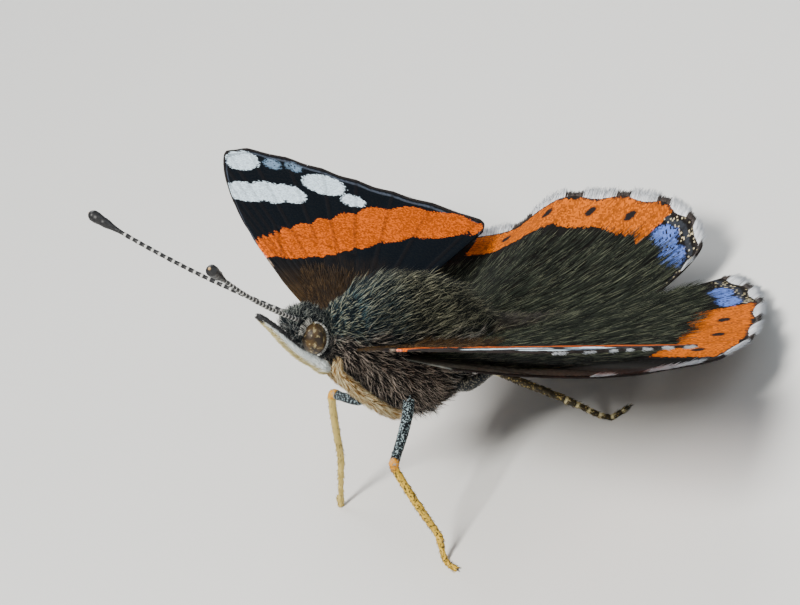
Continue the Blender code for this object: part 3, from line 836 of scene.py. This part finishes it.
# %% Wing shapes
FORE_ENDS = ((10.0, 2.3), (14.2, 2.5), (18.4, 2.5), (22.0, 2.25), (25.6, 1.8), (29.1, 1.1), (31.5, 0.2),
             (32.1, -1.6), (30.4, -4.2), (28.3, -6.4), (26.1, -8.5), (23.9, -10.8), (21.8, -13.3),
             (18.9, -16.0), (16.9, -15.6))
HIND_ANGLES = (14.0, 3.0, -6.0, -17.5, -28.0, -38.5, -48.5, -58.0, -66.5, -74.0, -78.5, -83.0)
HIND_LENGTHS = (6.2, 12.4, 18.2, 22.6, 24.0, 24.3, 24.9, 25.3, 25.1, 23.9, 18.4, 12.0)
HIND_ENDS = tuple(
    (r * math.cos(math.radians(a)), r * math.sin(math.radians(a))) for a, r in zip(HIND_ANGLES, HIND_LENGTHS)
)
FORE_DIHEDRAL = {"left": 14.9, "right": 13.4}
FORE_DROOP = {"left": 0.0003, "right": 0.0007}
HIND_POSE = {
    # root height, sweep, dihedral, slope, bow, flare
    "left": (-0.75, -28.0, 2.6, 2.2, 0.00005, 0.0),
    "right": (-1.55, -18.0, 5.8, -3.4, 0.00043, 0.15),
}
MIDLINE_Y, WING_ROOT_Y, HIND_ROOT_X = 0.25, 2.3, -2.6
FORE_SWEEP, FORE_SLOPE = -2.2, 7.0
# behind a line at this angle through its root, a hindwing may flare up over so many millimetres
FLARE_ANGLE, FLARE_OVER = 43, 5.0


class Wing:
    """Outline, veins and grid of one kind of wing.

    base is v of the sheet's root at its leading and inner edge, arch how far the leading side bows forward,
    scallop how deep the bays are from the cell first_bay on, joins the share of t where a vein that doesn't
    reach the root begins, and root_end how far the root's colours reach in mm.
    """

    def __init__(self, ends, base, arch, scallop, first_bay, joins, no_vein, grid, root_end):
        self.ends = np.array(ends)
        self.fine = smooth_table(ends, 16)
        self.base, self.arch, self.scallop, self.first_bay = base, arch, scallop, first_bay
        self.joins, self.no_vein, self.grid, self.root_end = joins, no_vein, grid, root_end
        self.cells = len(ends) - 1

    def plane(self, s, t):
        """u and v of the place s, t."""
        row = np.linspace(0, 1, len(self.fine))
        end = np.stack((np.interp(s, row, self.fine[:, 0]), np.interp(s, row, self.fine[:, 1])), -1)
        cell = s * self.cells
        bay = np.sin(math.pi * (cell % 1.0)) ** 2 * (cell > self.first_bay) * (cell < self.cells - 1)
        end = end - unit(end) * (self.scallop * bay)[..., None] * (t**4)[..., None]
        start = self.base[0] + (self.base[1] - self.base[0]) * s
        u = end[..., 0] * t
        v = start + (end[..., 1] - start) * t + self.arch * (1 - s) * 2 * t * (1 - t)
        return u, v


FORE = Wing(
    FORE_ENDS, base=(0.95, -1.3), arch=0.9, scallop=0.25, first_bay=6.0,
    joins={4: 0.45, 5: 0.5, 6: 0.55, 8: 0.47, 9: 0.47, 10: 0.47}, no_vein=(1, 2), grid=(200, 132),
    root_end=13.5)
HIND = Wing(
    HIND_ENDS, base=(0.7, -1.7), arch=0.0, scallop=0.35, first_bay=2.0,
    joins={4: 0.42, 5: 0.42, 6: 0.42}, no_vein=(), grid=(166, 114), root_end=13.0)


def word(side):
    return "left" if side > 0 else "right"


def swept(u, v, degrees):
    a = math.radians(degrees)
    return u * math.cos(a) - v * math.sin(a), u * math.sin(a) + v * math.cos(a)


def fore_place(u, v, side):
    d = math.radians(FORE_DIHEDRAL[word(side)])
    out, ahead = swept(u, v, FORE_SWEEP)
    rise = out * math.sin(d) + ahead * math.tan(math.radians(FORE_SLOPE)) - FORE_DROOP[word(side)] * out * out
    return np.stack((ahead, side * (WING_ROOT_Y + out * math.cos(d)), rise), -1)


def hind_place(u, v, side):
    height, sweep, dihedral, slope, bow, flare = HIND_POSE[word(side)]
    d, turn = math.radians(dihedral), math.radians(FLARE_ANGLE)
    out, ahead = swept(u, v, sweep)
    behind = -(ahead * math.cos(turn) + out * math.sin(turn))
    share = np.clip(behind / FLARE_OVER, 0, 1)
    flare = flare * out * share**2 * (3 - 2 * share)
    rise = out * math.sin(d) - ahead * math.tan(math.radians(slope)) + bow * np.abs(ahead) ** 3
    aside = side * (WING_ROOT_Y + out * math.cos(d))
    return np.stack((HIND_ROOT_X + ahead, aside, height + rise + flare), -1)


print("forewing length, mm:", round(float(np.linalg.norm(FORE.ends, axis=1).max()), 1))

# %% [markdown]
# The pattern is drawn with signed distances: a number at each corner of the sheet that is positive inside a
# mark and gives the distance to its edge. It blends smoothly between corners, so an edge is sharper than
# the grid, and the finish can roughen it by the size of a wing scale. Marks are a few ellipses, chains of
# discs for the bands, and lines for the veins.


# %% Marks
# further than any vein, and outside every band
FAR, NOWHERE = 9.0, -99.0
WING_START = 0.03


def spot(u, v, centre, radii, turn):
    a = math.radians(turn)
    du, dv = u - centre[0], v - centre[1]
    x, y = du * math.cos(a) + dv * math.sin(a), -du * math.sin(a) + dv * math.cos(a)
    return (1 - np.sqrt((x / radii[0]) ** 2 + (y / radii[1]) ** 2)) * min(radii)


def chain(u, v, discs):
    """Inside a band through discs given as u, v, radius."""
    best = np.full(np.shape(u), NOWHERE)
    for (u0, v0, r0), (u1, v1, r1) in zip(discs, discs[1:]):
        du, dv = u1 - u0, v1 - v0
        k = np.clip(((u - u0) * du + (v - v0) * dv) / (du * du + dv * dv), 0, 1)
        best = np.maximum(best, r0 + (r1 - r0) * k - np.hypot(u - u0 - du * k, v - v0 - dv * k))
    return best


def lines(u, v, rows):
    return -chain(u, v, [(*p, 0.0) for p in rows])


# bands are discs of u, v, radius; spots are centre, radii and turn in degrees
FORE_BAND = ((12.9, 2.2, 1.0), (13.6, 0.6, 2.0), (14.4, -1.2, 2.4), (15.6, -3.6, 2.5), (16.8, -6.0, 2.5),
             (17.9, -8.6, 2.7), (18.2, -11.2, 2.6), (17.9, -13.2, 2.0), (17.8, -14.8, 1.0))
FORE_WHITE = (((29.6, -0.5), (2.0, 1.25), -15), ((23.5, 0.9), (1.9, 1.5), 0), ((23.4, -0.9), (2.0, 1.4), 0),
              ((23.2, -2.4), (1.7, 1.2), 0), ((25.0, -5.6), (2.0, 1.55), 10), ((22.0, -7.0), (1.15, 0.85), 0))
FORE_BLUE = (((29.0, -2.7), (1.1, 0.65), 0), ((28.4, -4.2), (1.0, 0.6), 0))
# turn of the hindwing's marks in degrees, and the band's distance from the margin in mm
HIND_BAND = {"left": (-12.0, 2.6), "right": (0.0, 1.9)}
# angle round the root, and for the dots their radius along the margin
HIND_BLACK = ((26.5, 0.3), (35.2, 0.34), (44.4, 0.38), (53.4, 0.42))
HIND_BLUE = (64.6, 70.6)


def vein_gap(wing, u, v):
    """Distance to the nearest vein, in mm."""
    gap = np.full(np.shape(u), FAR)
    for i in range(1, wing.cells):
        if i in wing.no_vein:
            continue
        stations = np.linspace(wing.joins.get(i, WING_START), 1.0, 14)
        rows = np.stack(wing.plane(np.full(14, i / wing.cells), stations), -1)
        gap = np.minimum(gap, lines(u, v, rows))
    ends = sorted(wing.joins.items())
    crossing = np.array([wing.plane(np.array(i / wing.cells), np.array(k)) for i, k in ends])
    return np.minimum(gap, lines(u, v, crossing))


def fore_marks(s, u, v, side):
    cell = np.abs(np.sin(math.pi * (s * FORE.cells)))
    band = chain(u, v, FORE_BAND) + 0.55 * (cell - 0.5) * (u > 13.0)
    white = np.max([spot(u, v, *m) for m in FORE_WHITE], axis=0)
    blue = np.max([spot(u, v, *m) for m in FORE_BLUE], axis=0)
    return {"orange": band, "white": white, "blue": blue, "black": np.full(np.shape(u), -FAR)}


def hind_reach(angle):
    return np.interp(angle, -np.array(HIND_ANGLES), HIND_LENGTHS)


def hind_spot(u, v, angle, inset, radii):
    """A spot at an angle round the root, inset from the margin. Its radii are towards it and along it."""
    reach, a = hind_reach(angle) - inset, math.radians(angle)
    return spot(u, v, (reach * math.cos(a), -reach * math.sin(a)), radii, -angle)


def hind_marks(s, u, v, side):
    turn, inset = HIND_BAND[word(side)]
    angle = -np.degrees(np.arctan2(v, u))
    depth = hind_reach(angle) - np.hypot(u, v)
    cell = np.abs(np.sin(math.pi * (s * HIND.cells)))
    middle = depth - inset - 0.1 + 0.15 * np.sin(np.radians(angle) * 9)
    band = inset - 0.35 + 0.35 * (cell - 0.5) - np.abs(middle)
    band = np.minimum(band, np.minimum(angle - 20.0 - turn * 0.1, 61.0 + turn - angle) * 0.42)
    black = [hind_spot(u, v, at + turn, inset, (0.5, along)) for at, along in HIND_BLACK]
    blue = [hind_spot(u, v, at + turn, 2.1, (0.9, 1.35)) for at in HIND_BLUE]
    return {"orange": band, "white": np.full(np.shape(u), -FAR), "blue": np.max(blue, axis=0),
            "black": np.max(black, axis=0)}


print("marks ready")

# %% [markdown]
# Wing colour comes from overlapping scales in rows. The finish mixes the marks by their distances, roughened
# by a cell the size of a scale, and then gives every scale its own brightness. Towards the root the ground
# turns olive-brown with fine streaks; the outer half of the forewing is blue-black, and the hindwing has a
# grey leading edge. The underside is a second finish, mottled like bark.


# %% Wing finishes
SCALE_LONG, SCALE_WIDE = 0.17, 0.11
WING_PLACE = "wing_mm"


def wing_finish(name, under, hind):
    f = Finish(name, rough=0.7, specular=0.03)
    u, v, _ = f.split(f.uv(WING_PLACE))
    here = f.join(u, v)
    row = (v / SCALE_WIDE).floor()
    scale = f.random(f.join((u / SCALE_LONG + row * 0.5).floor(), row))
    ragged = (scale - 0.5) * 0.22 + (f.noise(here, 1.7, 3.0) - 0.5) * 0.5
    orange = (f.value("orange") + ragged).step(-0.06, 0.06)
    white = (f.value("white") + ragged).step(-0.08, 0.08)
    blue = (f.value("blue") + ragged).step(-0.1, 0.25)
    black = (f.value("black") + ragged * 0.6).step(-0.08, 0.08)
    edge = f.value("edge")
    fan_s, fan_t, _ = f.split(f.uv())
    streak = f.noise(f.join(fan_s * 420.0, fan_t * 14.0), 1.0, 3.0, 0.65)
    broad = f.noise(here, 0.22, 2.0)
    if under:
        ground = f.mix((0.05, 0.036, 0.026), (0.26, 0.2, 0.15), f.noise(here, 0.9, 5.0, 0.6).step(0.38, 0.62))
        ground = f.mix(ground, (0.3, 0.26, 0.24), f.noise(here, 2.2).step(0.6, 0.7) * 0.5)
        band = (0.18, 0.12, 0.08) if hind else (0.62, 0.16, 0.1)
        pale = (0.72, 0.7, 0.62)
        tint = (0.16, 0.22, 0.3)
    else:
        dark = (0.006, 0.005, 0.004) if hind else (0.0012, 0.003, 0.0055)
        brown = f.mix((0.008, 0.005, 0.003), (0.09, 0.05, 0.018), streak.step(0.42, 0.66))
        ground = f.mix(dark, brown, (f.value("root") + (broad - 0.5) * 0.5).step(0.25, 0.95))
        band = (0.42, 0.088, 0.0) if hind else (0.46, 0.078, 0.0)
        pale = (0.66, 0.81, 0.9)
        tint = (0.09, 0.16, 0.5) if hind else (0.16, 0.25, 0.36)
    if hind and not under:
        costal = f.mix((0.06, 0.06, 0.053), (0.19, 0.195, 0.175), fan_t.step(0.35, 0.7))
        ground = f.mix(costal, ground, fan_s.step(0.12, 0.26))
    shades = [tuple(c * k for c in band) for k in (0.8, 1.25)]
    colour = f.mix(ground, f.mix(*shades, (scale + broad).step(0.7, 1.4)), orange)
    colour = f.mix(colour, (0.012, 0.009, 0.009), black)
    colour = f.mix(colour, pale, white)
    colour = f.mix(colour, tint, blue * scale.step(0.08, 0.16))
    if hind:
        sparks = (f.value("blue") + 1.4).step(0.0, 0.5) * (1.0 - edge.step(1.2, 1.8)) * scale.step(0.84, 0.9)
        colour = f.mix(colour, (0.42, 0.36, 0.22), sparks * (1.0 - blue) * (1.0 - orange))
    colour = f.mix(colour, (0.02, 0.016, 0.015), 1.0 - (edge + ragged).step(0.3, 0.6))
    glint = 1.0 - abs(edge + ragged * 0.4 - 0.95).step(0.12, 0.3)
    colour = f.mix(colour, (0.1, 0.12, 0.16), glint * (1.0 - orange) * (0.2 if hind else 0.5))
    on_vein = 1.0 - f.value("vein").step(0.07, 0.2)
    colour = f.mix(colour, (0.008, 0.006, 0.006), on_vein * (0.45 - white * 0.25 - orange * 0.15))
    colour = f.shade(colour, 0.72 + scale * 0.5 + streak * 0.12)
    relief = scale * 0.5 + on_vein * 0.6 + streak * 0.4
    return f.done(colour, rough=0.55 + scale * 0.2, height=relief, relief=0.00003, strength=0.6)


UPPER, UNDER = (
    {kind: wing_finish(kind + face, under, kind == "hindwing") for kind in ("forewing", "hindwing")}
    for under, face in ((False, "_upper"), (True, "_under"))
)
print("wing finishes:", len(UPPER) + len(UNDER))

# %% [markdown]
# The sheet is one layer of faces. A Solidify modifier gives it two sides and a rim, and paints the lower side
# with the second finish. Veins stand up a little in the sheet itself.

# %% Wings
WINGS = {"forewing": (FORE, fore_place, fore_marks), "hindwing": (HIND, hind_place, hind_marks)}
VEIN_HEIGHT, VEIN_WIDTH, CELL_SWELL = 0.07, 0.13, 0.06
SHEET_THICK = 0.00016


def cut_beyond_midline(mesh, reach):
    """Drops the corners of a sheet that would lie on the other wing's side."""
    bm = bmesh.new()
    bm.from_mesh(mesh)
    bm.verts.ensure_lookup_table()
    beyond = [bm.verts[i] for i in np.nonzero(reach < MIDLINE_Y)[0]]
    bmesh.ops.delete(bm, geom=beyond, context="VERTS")
    bm.to_mesh(mesh)
    bm.free()


def off_root(t):
    """Carries t from 0 to 1 to the part of the wing that the sheet covers."""
    return WING_START + (1 - WING_START) * t


def wing_piece(kind, side_name, side):
    wing, place, marks = WINGS[kind]

    def spot_at(s, t):
        t = off_root(t)
        u, v = wing.plane(s, t)
        point = place(u, v, side)
        ridge = np.exp(-((vein_gap(wing, u, v) / VEIN_WIDTH) ** 2))
        point[:, 2] += VEIN_HEIGHT * ridge * (1 - 0.6 * t)
        point[:, 2] += CELL_SWELL * np.sin(math.pi * ((s * wing.cells) % 1.0)) * t * (1 - t) * 4
        return point

    mesh = sheet(kind + "_sheet_" + side_name, *wing.grid, spot_at)
    s, t = read_value(mesh, "s"), off_root(read_value(mesh, "t"))
    u, v = wing.plane(s, t)
    for key, value in marks(s, u, v, side).items():
        add_value(mesh, key, value)
    reach = np.hypot(*wing.plane(s, np.ones_like(t)))
    add_value(mesh, "vein", vein_gap(wing, u, v))
    add_value(mesh, "root", np.clip(1.25 - np.hypot(u, v) / wing.root_end, 0, 1))
    add_value(mesh, "edge", (1 - t) * reach)
    flat = mesh.uv_layers.new(name=WING_PLACE)
    loops = np.zeros(len(mesh.loops), np.int32)
    mesh.loops.foreach_get("vertex_index", loops)
    flat.uv.foreach_set("vector", np.stack((u, v), -1)[loops].astype(np.float32).ravel())
    if kind == "hindwing":
        cut_beyond_midline(mesh, place(u, v, side)[:, 1] * side)
    upward = np.zeros(len(mesh.polygons) * 3, np.float32)
    mesh.polygons.foreach_get("normal", upward)
    if upward.reshape(-1, 3)[:, 2].mean() < 0:
        mesh.flip_normals()
    obj = finish_piece(mesh, kind + "_sheet_" + side_name, [UPPER[kind], UNDER[kind]],
                       (kind + "_" + side_name,))
    thick = obj.modifiers.new("two sides", "SOLIDIFY")
    thick.thickness = SHEET_THICK
    thick.offset = 0.0
    thick.material_offset = 1
    return obj


for kind in WINGS:
    for side_name, side in SIDES:
        made = wing_piece(kind, side_name, side)
        print(made.name, len(made.data.polygons), "faces")

# %% [markdown]
# Scales stand out past the margin as a fringe, white between the vein ends and black at them. Fine hair lies
# over the forewing's root and most of the hindwing, longest towards the inner edge. Both are the same hairs
# as the coat's, laid flat. No hair starts past the midline, where the other wing begins.

# %% Fringe and wing hair
WHITE_MAT = toned("fringe_white", (0.5, 0.52, 0.55), (0.88, 0.9, 0.92))
DARK_MAT = toned("fringe_dark", (0.015, 0.012, 0.012), (0.07, 0.05, 0.04))
FRINGE_COUNT, FRINGE_AT = 3600, 0.982


def wing_hair_finish(name, dark, middle, pale):
    f = Finish(name, rough=0.6, specular=0.1)
    tone = f.value("tone")
    ends = f.value("along").step(0.1, 0.9) * tone.step(0.78, 0.92)
    return f.done(f.mix(f.mix(dark, middle, tone.step(0.25, 0.75)), pale, ends))


HAIR_MATS = {
    "forewing": wing_hair_finish(
        "forewing_hair", (0.008, 0.004, 0.002), (0.06, 0.032, 0.011), (0.2, 0.12, 0.05)),
    "hindwing": wing_hair_finish(
        "hindwing_hair", (0.003, 0.004, 0.003), (0.032, 0.04, 0.026), (0.24, 0.25, 0.16)),
}


def on_wing(kind, side, s, t):
    """Places on a wing, the ways out and back along it, its normals, and which are on its own side."""
    wing, place, _ = WINGS[kind]
    here = place(*wing.plane(s, t), side)
    out = place(*wing.plane(s, t + 0.01), side) - here
    back = place(*wing.plane(s + 0.01, t), side) - here
    normal = unit(np.cross(out, back))
    normal *= np.sign(normal[:, 2:])
    return here, unit(out), unit(back), normal, here[:, 1] * side > MIDLINE_Y


def fringe(kind, side_name, side, first, last, curl, half, reach):
    """From cell first to last; white up to the share half on either side of a cell's middle."""
    rng = np.random.default_rng(61)
    cell = rng.uniform(first, last, FRINGE_COUNT)
    s, t = cell / WINGS[kind][0].cells, np.full(FRINGE_COUNT, FRINGE_AT)
    here, out, _, normal, own = on_wing(kind, side, s, t)
    gap = np.abs((cell % 1.0) - 0.5) + rng.normal(0, 0.03, FRINGE_COUNT)
    uv, lie = np.stack((s, t), 1), out + normal * curl
    for shade, pick, mat, share in (
        ("white", own & (gap < half), WHITE_MAT, 1.0), ("dark", own & (gap >= half), DARK_MAT, 0.78)
    ):
        long = reach * share * (1 - 1.6 * gap[pick] ** 2)
        hairs("fringe_%s_%s_%s" % (shade, kind, side_name), here[pick], normal[pick], lie[pick], long, 0.05,
              uv[pick], [mat], 62, 0.03, 0.08, rings=2, flat=0.5)


def wing_hair(kind, side_name, side, count, low, high, far, crowd, long):
    """Between s low and high, out to t far; crowd above 1 draws the hairs to the root."""
    rng = np.random.default_rng(71)
    s = low + (high - low) * rng.random(count) ** 0.75
    t = 0.08 + (far - 0.08) * rng.random(count) ** crowd * (0.55 + 0.45 * s**0.5)
    here, out, back, normal, own = on_wing(kind, side, s, t)
    inward = np.array((0, -side, 0.25)) * np.clip((s - 0.8) * 4, 0, 0.8)[:, None]
    hairs("wing_hair_%s_%s" % (kind, side_name), (here + normal * 0.1)[own], normal[own],
          (out + back * 0.15 + inward)[own], (long * (0.6 + 0.5 * s))[own], 0.018, np.stack((s, t), 1)[own],
          [HAIR_MATS[kind]], 72, 0.14, 0.06)


for kind, numbers in (("forewing", (6.2, 13.0, -0.1, 0.22, 0.8)), ("hindwing", (1.6, 9.3, 0.3, 0.3, 1.25))):
    for side_name, side in SIDES:
        fringe(kind, side_name, side, *numbers)

for kind, numbers in (
    ("forewing", (4200, 0.1, 0.98, 0.36, 1.5, 1.4)), ("hindwing", (11400, 0.12, 1.0, 0.92, 0.85, 2.3))
):
    for side_name, side in SIDES:
        wing_hair(kind, side_name, side, *numbers)

# %% [markdown]
# The stage is a plain pale floor with soft studio light from wide panels, and the camera stands where the
# photographer's did. The photograph's view was worked out in the wing frame, so the camera turns with the
# insect when the leaf is laid flat.

# %% Stage, light and camera
floor_bm = bmesh.new()
bmesh.ops.create_grid(floor_bm, x_segments=1, y_segments=1, size=1.5)
floor_mesh = mesh_from(floor_bm, "floor")
floor = bpy.data.objects.new("floor", floor_mesh)
bpy.context.scene.collection.objects.link(floor)
FLOOR = Finish("floor", rough=0.9, specular=0.05)
paper = FLOOR.mix((0.70, 0.70, 0.68), (0.72, 0.72, 0.70), FLOOR.noise(FLOOR.place(), 30.0))
floor_mesh.materials.append(FLOOR.done(paper))

world = bpy.data.worlds.new("studio")
bpy.context.scene.world = world
world.use_nodes = True
world.node_tree.nodes["Background"].inputs["Color"].default_value = (0.86, 0.92, 1.0, 1.0)
world.node_tree.nodes["Background"].inputs["Strength"].default_value = 0.3


def panel(name, where, aim, size, power, colour):
    light = bpy.data.lights.new(name, "AREA")
    light.size, light.energy, light.color = size, power, colour
    obj = bpy.data.objects.new(name, light)
    obj.location = where
    obj.rotation_euler = (Vector(aim) - Vector(where)).to_track_quat("-Z", "Y").to_euler()
    bpy.context.scene.collection.objects.link(obj)


panel("key", (0.16, 0.14, 0.34), (0, 0, 0.01), 0.14, 3.0, (1.0, 0.97, 0.92))
panel("fill", (-0.22, 0.3, 0.18), (0, 0, 0.01), 0.3, 0.6, (0.9, 0.95, 1.0))
panel("rim", (-0.1, -0.3, 0.28), (0, 0, 0.015), 0.2, 1.0, (1.0, 1.0, 1.0))

FOCAL_PX, SENSOR_MM = 3761.5, 36.0
PICTURE_WIDTH, PICTURE_MIDDLE = 800, (400, 302.5)
WING_FRAME_PX = (358.96, 341.60)
CAMERA_MM = 259.95
TO_CAMERA = np.array((0.30278, 0.91126, 0.27916))
RIGHT_HAND = np.array((-0.94351, 0.32797, -0.04724))
OVERHEAD = np.array((-0.13461, -0.24908, 0.95908))
look = unit(
    -TO_CAMERA + RIGHT_HAND * (PICTURE_MIDDLE[0] - WING_FRAME_PX[0]) / FOCAL_PX
    + OVERHEAD * (WING_FRAME_PX[1] - PICTURE_MIDDLE[1]) / FOCAL_PX)
right = unit(np.cross(look, OVERHEAD))
axes = TURN @ np.stack((right, np.cross(right, look), -look), 1)
camera_data = bpy.data.cameras.new("camera")
camera_data.lens = SENSOR_MM * FOCAL_PX / PICTURE_WIDTH
camera_data.clip_start, camera_data.clip_end = 0.01, 10.0
camera = bpy.data.objects.new("camera", camera_data)
matrix = Matrix(axes.tolist()).to_4x4()
matrix.translation = Vector(to_floor(TO_CAMERA * CAMERA_MM))
camera.matrix_world = matrix
bpy.context.scene.collection.objects.link(camera)
bpy.context.scene.camera = camera
print("camera, m:", [round(float(x), 4) for x in camera.location], "lens mm:", round(camera_data.lens, 1))
